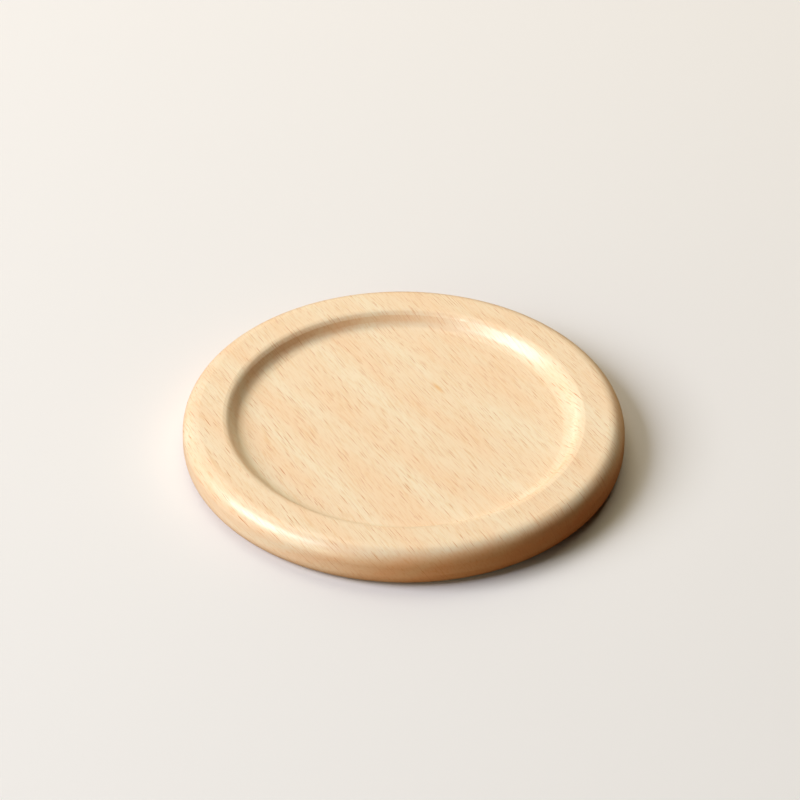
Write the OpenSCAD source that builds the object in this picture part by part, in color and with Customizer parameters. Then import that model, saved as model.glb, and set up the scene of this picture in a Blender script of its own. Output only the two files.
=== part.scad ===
// Round drink coaster, turned from one piece of beech.
// The lathe's axis is Z, and the underside lies on the plane z = 0.
// The grain of the board runs along X.

/* [Disc] */
// Overall diameter of the disc
disc_d = 100; // [90:1:140]
// Overall thickness of the disc
disc_h = 9.5; // [7.5:0.5:16]
// Radius of the roundover along the top of the outer edge
top_round_r = 3.7; // [1:0.1:5]
// Radius of the roundover along the bottom of the outer edge
bottom_round_r = 3.4; // [1:0.1:5]

/* [Recess] */
// Width of the rim, from the outer edge to where it rolls over into the recess
rim_w = 9; // [6:0.2:16]
// Depth of the recess below the top of the rim
recess_depth = 3; // [1.8:0.1:4]
// Slope of the wall of the recess, in degrees from level
wall_slope = 50; // [35:1:75]
// Radius of the hollow corner between the wall and the floor
cove_r = 3.2; // [0.8:0.1:4.5]
// Radius of the rounding where the wall rolls over into the rim
lip_r = 2.2; // [0.3:0.1:3]

/* [Finish] */
// Facets of each full circle of the lathe work
turn_fn = 180; // [60:12:360]
// Facets of each small circle of the outline
arc_fn = 64; // [24:8:128]

/* [Hidden] */

disc_r = disc_d / 2;
floor_z = disc_h - recess_depth;
rim_flat_r = disc_r - rim_w;
// How far the recess is cut past the top of the rim, which it opens
cut_over = 1;
// The least height that is left to the straight stretch between two roundings
least_straight_h = 0.2;

// A thin disc has room for only a share of both roundovers of its edge
edge_share = min(1, (disc_h - least_straight_h) / (top_round_r + bottom_round_r));
top_fit_r = top_round_r * edge_share;
bottom_fit_r = bottom_round_r * edge_share;

// A rounding of the wall takes up this much of its own radius in height
arc_rise_share = 1 - cos(wall_slope);
// A shallow recess has room for only a share of both roundings of its wall
wall_share = min(1, (recess_depth - least_straight_h) / ((cove_r + lip_r) * arc_rise_share));
cove_fit_r = cove_r * wall_share;
lip_fit_r = lip_r * wall_share;

// The straight stretch of the wall between its roundings, and the floor that is left flat inside it
straight_h = recess_depth - (cove_fit_r + lip_fit_r) * arc_rise_share;
wall_w = (cove_fit_r + lip_fit_r) * sin(wall_slope) + straight_h / tan(wall_slope);
floor_flat_r = rim_flat_r - wall_w;

// Centres of the two roundings, and the ends of the straight stretch, as [radius, height]
cove_centre = [floor_flat_r, floor_z + cove_fit_r];
lip_centre = [rim_flat_r, disc_h - lip_fit_r];
wall_normal = [sin(wall_slope), -cos(wall_slope)];
wall_bottom = cove_centre + cove_fit_r * wall_normal;
wall_top = lip_centre - lip_fit_r * wall_normal;

beech = [0.93, 0.79, 0.60];

// The outline of the blank, right of the axis, with both of its corners rounded over
module blank_outline() {
    translate([0, bottom_fit_r]) square([disc_r, disc_h - top_fit_r - bottom_fit_r]);
    translate([0, bottom_fit_r]) square([disc_r - top_fit_r, disc_h - bottom_fit_r]);
    square([disc_r - bottom_fit_r, disc_h - top_fit_r]);
    translate([disc_r - top_fit_r, disc_h - top_fit_r]) circle(top_fit_r, $fn = arc_fn);
    translate([disc_r - bottom_fit_r, bottom_fit_r]) circle(bottom_fit_r, $fn = arc_fn);
}

// The recess, as the turning tool clears it: a flat floor, then a wall that is hollow at its foot
// and rolls over into the rim at its top
module recess_outline() {
    difference() {
        union() {
            polygon([
                [0, floor_z],
                [floor_flat_r, floor_z],
                wall_bottom,
                wall_top,
                [rim_flat_r, disc_h],
                [rim_flat_r, disc_h + cut_over],
                [0, disc_h + cut_over]
            ]);
            translate(cove_centre) circle(cove_fit_r, $fn = arc_fn);
        }
        translate(lip_centre) circle(lip_fit_r, $fn = arc_fn);
    }
}

// The whole coaster: one solid with nothing glued, screwed or let in
module turned_disc() {
    color(beech)
        rotate_extrude($fn = turn_fn)
            difference() {
                blank_outline();
                recess_outline();
            }
}

turned_disc();
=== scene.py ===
import math

import bpy
from mathutils import Matrix, Vector


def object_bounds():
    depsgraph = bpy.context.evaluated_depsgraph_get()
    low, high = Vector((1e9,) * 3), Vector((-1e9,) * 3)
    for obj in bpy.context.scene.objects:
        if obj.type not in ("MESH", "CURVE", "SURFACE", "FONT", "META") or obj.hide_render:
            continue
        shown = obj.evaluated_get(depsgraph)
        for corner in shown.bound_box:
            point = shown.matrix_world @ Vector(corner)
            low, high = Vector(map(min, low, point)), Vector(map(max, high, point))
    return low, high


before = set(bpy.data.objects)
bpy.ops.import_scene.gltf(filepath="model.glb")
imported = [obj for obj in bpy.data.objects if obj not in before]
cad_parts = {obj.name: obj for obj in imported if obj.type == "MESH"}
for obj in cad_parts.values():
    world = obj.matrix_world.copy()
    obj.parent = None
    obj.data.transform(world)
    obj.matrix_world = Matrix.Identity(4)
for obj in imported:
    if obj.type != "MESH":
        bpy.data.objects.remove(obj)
CAD_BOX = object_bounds()
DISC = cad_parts["turned_disc"]

MM = 0.001
UP = Vector((0, 0, 1))

# The camera. Its azimuth is also the angle between the grain and the picture's right.
CAMERA_AZIMUTH = 58.0
CAMERA_ELEVATION = 37.3
CAMERA_ROLL = 0.6
CAMERA_DISTANCE = 1000 * MM
LENS_MM = 198.7
SENSOR_MM = 36.0
PICTURE_PX = 800
# The side of one pixel, measured at the coaster
PX = SENSOR_MM / LENS_MM * CAMERA_DISTANCE / PICTURE_PX
# Where the middle of the coaster lies in the picture, in pixels from its top left corner
MIDDLE_PX = (403.8, 431.5)
# How many times nearer and farther than the coaster the camera still sees
CLIP_RATIO = 20

# Lights, with angles in degrees and powers in watts. Azimuths go from the picture's right towards its back.
# The key light, a broad soft box low at the left
KEY_LIGHT = dict(
    azimuth=191.0,
    elevation=36.0,
    distance=2400 * MM,
    width=1450 * MM,
    height=1450 * MM,
    power=59.5,
    colour=(1, 1, 1),
)
# A warm soft box behind the coaster, tall enough to reach from near the floor to nearly overhead
BACK_LIGHT = dict(
    azimuth=82.0,
    elevation=45.0,
    distance=1150 * MM,
    width=1000 * MM,
    height=1900 * MM,
    power=7.7,
    colour=(1, 0.84, 0.52),
)
# A weak warm light low at the front left
LOW_LIGHT = dict(
    azimuth=225.0,
    elevation=12.0,
    distance=1500 * MM,
    width=900 * MM,
    height=675 * MM,
    power=4.8,
    colour=(1, 0.98, 0.66),
)
# A small light high at the back left, which widens the sheen on the front left of the edge
HIGH_LIGHT = dict(
    azimuth=131.0,
    elevation=56.0,
    distance=1200 * MM,
    width=500 * MM,
    height=450 * MM,
    power=1.8,
    colour=(1, 0.93, 0.83),
)
# The sky is left dark
SKY_COLOUR = (0, 0, 0, 1)

# Half of the floor's side
FLOOR_HALF = 4000 * MM
# The floor's colour as the camera sees it, and as it throws light back up
FLOOR_SEEN = (0.89, 0.895, 0.95, 1)
FLOOR_BOUNCE = (0.345, 0.185, 0.092, 1)
FLOOR_ROUGHNESS = 0.9

# The board, in millimetres: the line where the pith of the tree ran, below the coaster and beyond it
PITH_Y = 70.0
PITH_Z = -140.0
# How far the pith line sinks for each millimetre along the grain
PITH_FALL = 0.08
# How far one pale ring of growth lies from the pith. Lengths round the pith are measured along it.
PALE_RING = 161.8
# The gap between one pale ring and the next
RING_GAP = 6.4
# How far the grain wanders from side to side, and over what distances
DRIFT = 3.0
DRIFT_SCALE = (70, 30, 30)
# Sizes of the patterns: along the grain, round the pith and out from it, in millimetres
WAVER_SCALE = (60, 25, 8)
PATCH_SCALE = (26, 8, 5)
SILK_SCALE = (5, 0.30, 1.0)
PORE_SCALE = (1.6, 0.10, 0.3)
# The value that noise wanders about
NOISE_MIDDLE = 0.5
# The wood turns pale, and warm, as the wave of growth and the patches go from the first value to the second
PALE_WAVE = (0.4, 1.0)
PALE_PATCH = (0.38, 0.60)
WARM_WAVE = (0.5, -0.9)
WARM_PATCH = (0.64, 0.42)
# The silky fibres and the pores show as their noise goes from the first value to the second
SILK_SEEN = (0.46, 0.72)
PORES_SEEN = (0.60, 0.78)
# How much of the fibres' tint the pores take
PORE_SHARE = 0.45
# End grain shows as a face turns to meet the grain, from the first of these cosines to the second
END_GRAIN_FACING = (0.45, 0.95)

# The rays: how many millimetres apart they lie, along the grain and round the pith, and in how many sets
LONG_RAY_PITCH = (10.0, 0.85)
LONG_RAY_SETS = 3
SHORT_RAY_PITCH = (4.6, 0.42)
SHORT_RAY_SETS = 2
# Half of the length and width of a ray, lowest and highest, as shares of its pitch
LONG_RAY_LENGTH_SHARES = (0.14, 0.28)
LONG_RAY_WIDTH_SHARES = (0.06, 0.105)
SHORT_RAY_LENGTH_SHARES = (0.14, 0.30)
SHORT_RAY_WIDTH_SHARES = (0.09, 0.15)
# From one set of rays to the next, in pitches
RAY_SET_STEP = (31.7, 17.3, 0)
# The power that draws a ray's sides in to its tips. With 2 they are parabolas.
RAY_TAPER_POWER = 2.0
# A ray is gone at the first of these shares of the way from its middle to its edge, and full at the second
RAY_FADE_SHARES = (1.0, 0.2)
# The power of chance that sets how dark a ray is. A higher one leaves fewer dark rays.
RAY_CHANCE_POWER = 1.6
# How dark the short rays are beside the long ones
SHORT_RAY_SHARE = 0.5
# How much of the rays is left on end grain
END_RAY_SHARE = 0.35
# The rays fade to this share as a face turns along their flat sides, from the first cosine to the second
FLAT_RAY_SHARE = 0.15
FLAT_RAY_FACING = (0.55, 0.8)

# A small stain on the recess floor, in millimetres: its middle, and half of its length, width and depth
STAIN_PLACE = (-8, 14.1, 6.5)
STAIN_REACH = (3.2, 0.8, 2)
# The stain is gone at the first of these shares of its reach, and full at the second
STAIN_FADE_SHARES = (1.0, 0.1)

# Colours of the wood, as linear red, green and blue
BEECH_PALE = (0.957, 0.809, 0.622, 1)
BEECH_MID = (0.952, 0.763, 0.566, 1)
BEECH_WARM = (0.955, 0.720, 0.512, 1)
RAY_TINT = (0.64, 0.27, 0.06, 1)
FIBRE_TINT = (0.935, 0.85, 0.73, 1)
END_TINT = (0.97, 0.72, 0.51, 1)
STAIN_TINT = (0.92, 0.74, 0.52, 1)

# How strongly the lacquered surface shines
SHINE = 0.85
# How rough the lacquer is, how much fibres and rays add to that, and how much end grain adds
LACQUER_ROUGHNESS = 0.295
FIBRE_ROUGHNESS = 0.08
END_ROUGHNESS = 0.06
# How high the fibres stand, as a share of the depth of the rays and pores
FIBRE_HEIGHT_SHARE = 0.4
# How deep the rays and pores are, and how strongly the relief shows
RELIEF_DEPTH = 0.03 * MM
RELIEF_STRENGTH = 0.15


def picture_axes():
    """Right and away, as the camera stands, level with the floor."""
    turn = math.radians(CAMERA_AZIMUTH)
    right = Vector((math.cos(turn), math.sin(turn), 0))
    away = Vector((-math.sin(turn), math.cos(turn), 0))
    return right, away


def middle():
    """The middle of the coaster's box."""
    low, high = CAD_BOX
    return (low + high) / 2


def make_camera():
    """The camera at the photograph's angle, aimed so that the coaster lies where it does in the picture."""
    right, away = picture_axes()
    tilt = math.radians(CAMERA_ELEVATION)
    back = UP * math.sin(tilt) - away * math.cos(tilt)
    up = UP * math.cos(tilt) + away * math.sin(tilt)
    roll = Matrix.Rotation(math.radians(CAMERA_ROLL), 3, "Z")
    turned = Matrix((right, up, back)).transposed() @ roll
    data = bpy.data.cameras.new("camera")
    data.lens = LENS_MM
    data.sensor_width = SENSOR_MM
    data.clip_start = CAMERA_DISTANCE / CLIP_RATIO
    data.clip_end = CAMERA_DISTANCE * CLIP_RATIO
    aside = turned.col[0] * (MIDDLE_PX[0] - PICTURE_PX / 2) * PX
    below = turned.col[1] * (MIDDLE_PX[1] - PICTURE_PX / 2) * PX
    aim = middle() - aside + below
    camera = bpy.data.objects.new("camera", data)
    camera.matrix_world = Matrix.Translation(aim + back * CAMERA_DISTANCE) @ turned.to_4x4()
    bpy.context.scene.collection.objects.link(camera)
    bpy.context.scene.camera = camera


def area_light(name, azimuth, elevation, distance, width, height, power, colour):
    """A soft box that shines on the coaster from that side of the picture."""
    right, away = picture_axes()
    turn = math.radians(azimuth)
    tilt = math.radians(elevation)
    level = right * math.cos(turn) + away * math.sin(turn)
    towards = level * math.cos(tilt) + UP * math.sin(tilt)
    data = bpy.data.lights.new(name, "AREA")
    data.shape = "RECTANGLE"
    data.size = width
    data.size_y = height
    data.energy = power
    data.color = colour
    lamp = bpy.data.objects.new(name, data)
    lamp.location = middle() + towards * distance
    lamp.rotation_mode = "QUATERNION"
    lamp.rotation_quaternion = towards.to_track_quat("Z", "Y")
    bpy.context.scene.collection.objects.link(lamp)


class Graph:
    """One material's nodes. Most methods add a node and return the socket that holds its result."""

    def __init__(self, name):
        self.material = bpy.data.materials.new(name)
        self.material.use_nodes = True
        self.tree = self.material.node_tree
        self.shader = self.tree.nodes["Principled BSDF"]

    def feed(self, socket, value):
        """Gives a socket its value, or links it to the socket that holds it."""
        if isinstance(value, bpy.types.NodeSocket):
            self.tree.links.new(value, socket)
        else:
            socket.default_value = value

    def surface(self, name, value):
        """Feeds the shader's own socket of that name."""
        self.feed(self.shader.inputs[name], value)

    def node(self, kind, inputs=None, **settings):
        """A node of that kind. inputs gives its sockets, by name or number, their values."""
        made = self.tree.nodes.new("ShaderNode" + kind)
        for name, value in settings.items():
            setattr(made, name, value)
        for key, value in (inputs or {}).items():
            self.feed(made.inputs[key], value)
        return made

    def math(self, operation, *values):
        return self.node("Math", dict(enumerate(values)), operation=operation).outputs[0]

    def vector(self, operation, *values):
        return self.node("VectorMath", dict(enumerate(values)), operation=operation).outputs[0]

    def length(self, vector):
        return self.node("VectorMath", {0: vector}, operation="LENGTH").outputs["Value"]

    def point(self, x, y, z):
        return self.node("CombineXYZ", {"X": x, "Y": y, "Z": z}).outputs[0]

    def parts(self, vector):
        return self.node("SeparateXYZ", {0: vector}).outputs

    def place(self):
        """Where a point lies on the coaster, in millimetres."""
        coordinates = self.node("TexCoord").outputs["Object"]
        return self.vector("DIVIDE", coordinates, (MM, MM, MM))

    def noise(self, vector, detail, roughness=0.5):
        """Smooth noise about NOISE_MIDDLE, with features about one unit across."""
        sockets = {"Vector": vector, "Scale": 1.0, "Detail": detail, "Roughness": roughness}
        return self.node("TexNoise", sockets).outputs["Fac"]

    def between(self, value, low, high, to_low=0.0, to_high=1.0):
        """Goes from to_low to to_high with soft ends, as value goes from low to high."""
        sockets = {"Value": value, "From Min": low, "From Max": high, "To Min": to_low, "To Max": to_high}
        return self.node("MapRange", sockets, interpolation_type="SMOOTHSTEP").outputs[0]

    def mix(self, share, first, second, blend="MIX"):
        """Two colours mixed. The Mix node's colours are its inputs 6 and 7 and its output 2."""
        sockets = {0: share, 6: first, 7: second}
        return self.node("Mix", sockets, data_type="RGBA", blend_type=blend).outputs[2]


def tree_place(graph):
    """Where a point lies in the tree, in millimetres: along the grain, round the pith and out from it."""
    place = graph.place()
    x, y, z = graph.parts(place)
    drift = graph.noise(graph.vector("DIVIDE", place, DRIFT_SCALE), detail=1.0)
    across = graph.math("MULTIPLY_ADD", graph.math("SUBTRACT", drift, NOISE_MIDDLE), DRIFT, y)
    beside_pith = graph.math("SUBTRACT", across, PITH_Y)
    above_pith = graph.math("MULTIPLY_ADD", x, PITH_FALL, graph.math("SUBTRACT", z, PITH_Z))
    turned = graph.math("ARCTAN2", beside_pith, above_pith)
    ring = graph.length(graph.point(0, beside_pith, above_pith))
    return graph.point(x, graph.math("MULTIPLY", turned, PALE_RING), ring)


def growth(graph, spot):
    """The rings of growth: 1 in the middle of a pale ring, -1 midway between two."""
    waver = graph.noise(graph.vector("DIVIDE", spot, WAVER_SCALE), detail=2.0)
    ring = graph.parts(spot)[2]
    count = graph.math("DIVIDE", graph.math("SUBTRACT", ring, PALE_RING), RING_GAP)
    count = graph.math("ADD", count, graph.math("SUBTRACT", waver, NOISE_MIDDLE))
    return graph.math("COSINE", graph.math("MULTIPLY", count, 2 * math.pi))


def ray_set(graph, spot, pitch, length_shares, width_shares, shift):
    """Spindles along the grain, strewn about a pitch apart: 1 in the middle of the darkest, 0 between them.
    The rays run straight out from the pith, so each shows at its own place on every face."""
    cell = graph.vector("ADD", graph.vector("DIVIDE", spot, (*pitch, 1)), shift)
    sockets = {"Vector": cell, "Scale": 1.0, "Randomness": 1.0}
    voronoi = graph.node("TexVoronoi", sockets, voronoi_dimensions="2D")
    along, across, _ = graph.parts(graph.vector("SUBTRACT", cell, voronoi.outputs["Position"]))
    chance = graph.parts(voronoi.outputs["Color"])
    half_length = graph.between(chance[0], 0, 1, *length_shares)
    half_width = graph.between(chance[1], 0, 1, *width_shares)
    to_tip = graph.math("DIVIDE", graph.math("ABSOLUTE", along), half_length)
    taper = graph.math("POWER", to_tip, RAY_TAPER_POWER)
    to_side = graph.math("DIVIDE", graph.math("ABSOLUTE", across), half_width)
    spindle = graph.between(graph.math("ADD", taper, to_side), *RAY_FADE_SHARES)
    return graph.math("MULTIPLY", spindle, graph.math("POWER", chance[2], RAY_CHANCE_POWER))


def ray_flecks(graph, spot, pitch, length_shares, width_shares, sets):
    """The darkest of several sets of rays."""
    flecks = 0.0
    for number in range(sets):
        shift = [step * number for step in RAY_SET_STEP]
        one_set = ray_set(graph, spot, pitch, length_shares, width_shares, shift)
        flecks = graph.math("MAXIMUM", flecks, one_set)
    return flecks


def along_rays(graph, spot, facing):
    """How squarely a face shows the rays' flat sides: 1 where it runs along them, 0 where it cuts across."""
    turned = graph.math("DIVIDE", graph.parts(spot)[1], PALE_RING)
    level = graph.math("MULTIPLY", facing[1], graph.math("COSINE", turned))
    upright = graph.math("MULTIPLY", facing[2], graph.math("SINE", turned))
    return graph.math("ABSOLUTE", graph.math("SUBTRACT", level, upright))


def all_rays(graph, spot, facing, end_grain):
    """Long and short rays, faint on end grain and on faces that run along their flat sides."""
    long_rays = ray_flecks(
        graph, spot, LONG_RAY_PITCH, LONG_RAY_LENGTH_SHARES, LONG_RAY_WIDTH_SHARES, LONG_RAY_SETS)
    short_rays = ray_flecks(
        graph, spot, SHORT_RAY_PITCH, SHORT_RAY_LENGTH_SHARES, SHORT_RAY_WIDTH_SHARES, SHORT_RAY_SETS)
    flecks = graph.math("MAXIMUM", long_rays, graph.math("MULTIPLY", short_rays, SHORT_RAY_SHARE))
    flecks = graph.math("MULTIPLY", flecks, graph.between(end_grain, 0, 1, 1, END_RAY_SHARE))
    flat = along_rays(graph, spot, facing)
    return graph.math("MULTIPLY", flecks, graph.between(flat, *FLAT_RAY_FACING, 1, FLAT_RAY_SHARE))


def board_colour(graph, spot):
    """The wood without its fibres and rays: rings of growth, in patches of pale and warm."""
    wave = growth(graph, spot)
    patch = graph.noise(graph.vector("DIVIDE", spot, PATCH_SCALE), detail=2.0)
    pale = graph.math("MULTIPLY", graph.between(wave, *PALE_WAVE), graph.between(patch, *PALE_PATCH))
    warm = graph.math("MULTIPLY", graph.between(wave, *WARM_WAVE), graph.between(patch, *WARM_PATCH))
    colour = graph.mix(pale, BEECH_MID, BEECH_PALE)
    return graph.mix(warm, colour, BEECH_WARM)


def stain(graph):
    """A small warm streak on the floor of the recess."""
    off = graph.vector("SUBTRACT", graph.place(), STAIN_PLACE)
    return graph.between(graph.length(graph.vector("DIVIDE", off, STAIN_REACH)), *STAIN_FADE_SHARES)


def make_beech():
    """Flat sawn beech under a thin satin lacquer, patterned right through as the tree grew."""
    graph = Graph("beech")
    spot = tree_place(graph)
    facing = graph.parts(graph.node("TexCoord").outputs["Normal"])
    end_grain = graph.between(graph.math("ABSOLUTE", facing[0]), *END_GRAIN_FACING)

    colour = board_colour(graph, spot)
    silk = graph.noise(graph.vector("DIVIDE", spot, SILK_SCALE), detail=3.0, roughness=0.6)
    colour = graph.mix(graph.between(silk, *SILK_SEEN), colour, FIBRE_TINT, "MULTIPLY")
    pores = graph.noise(graph.vector("DIVIDE", spot, PORE_SCALE), detail=1.0)
    pores = graph.between(pores, *PORES_SEEN)
    colour = graph.mix(graph.math("MULTIPLY", pores, PORE_SHARE), colour, FIBRE_TINT, "MULTIPLY")
    flecks = all_rays(graph, spot, facing, end_grain)
    colour = graph.mix(flecks, colour, RAY_TINT, "MULTIPLY")
    colour = graph.mix(stain(graph), colour, STAIN_TINT, "MULTIPLY")
    colour = graph.mix(end_grain, colour, END_TINT, "MULTIPLY")
    graph.surface("Base Color", colour)

    uneven = graph.math("ADD", silk, flecks)
    roughness = graph.math("MULTIPLY_ADD", uneven, FIBRE_ROUGHNESS, LACQUER_ROUGHNESS)
    roughness = graph.math("MULTIPLY_ADD", end_grain, END_ROUGHNESS, roughness)
    graph.surface("Roughness", roughness)
    graph.surface("Specular IOR Level", SHINE)

    fibres = graph.math("MULTIPLY", silk, FIBRE_HEIGHT_SHARE)
    relief = graph.math("SUBTRACT", fibres, graph.math("MAXIMUM", flecks, pores))
    bump = graph.node("Bump", {"Height": relief, "Strength": RELIEF_STRENGTH, "Distance": RELIEF_DEPTH})
    graph.surface("Normal", bump.outputs[0])
    return graph.material


def make_floor():
    """The plain pale floor. It looks pale, but throws only a little warm light back up."""
    half = FLOOR_HALF
    data = bpy.data.meshes.new("floor")
    corners = [(-half, -half, 0), (half, -half, 0), (half, half, 0), (-half, half, 0)]
    data.from_pydata(corners, [], [(0, 1, 2, 3)])
    floor = bpy.data.objects.new("floor", data)
    bpy.context.scene.collection.objects.link(floor)
    graph = Graph("floor_white")
    seen = graph.node("LightPath").outputs["Is Camera Ray"]
    graph.surface("Base Color", graph.mix(seen, FLOOR_BOUNCE, FLOOR_SEEN))
    graph.surface("Roughness", FLOOR_ROUGHNESS)
    graph.surface("Specular IOR Level", 0)
    data.materials.append(graph.material)


def make_world():
    """No light but the soft boxes."""
    world = bpy.data.worlds.new("studio")
    world.use_nodes = True
    background = world.node_tree.nodes["Background"]
    background.inputs["Color"].default_value = SKY_COLOUR
    bpy.context.scene.world = world


make_camera()
make_world()
area_light("key", **KEY_LIGHT)
area_light("back", **BACK_LIGHT)
area_light("low", **LOW_LIGHT)
area_light("high", **HIGH_LIGHT)
make_floor()
DISC.data.materials.clear()
DISC.data.materials.append(make_beech())
bpy.context.scene.view_settings.view_transform = "Standard"
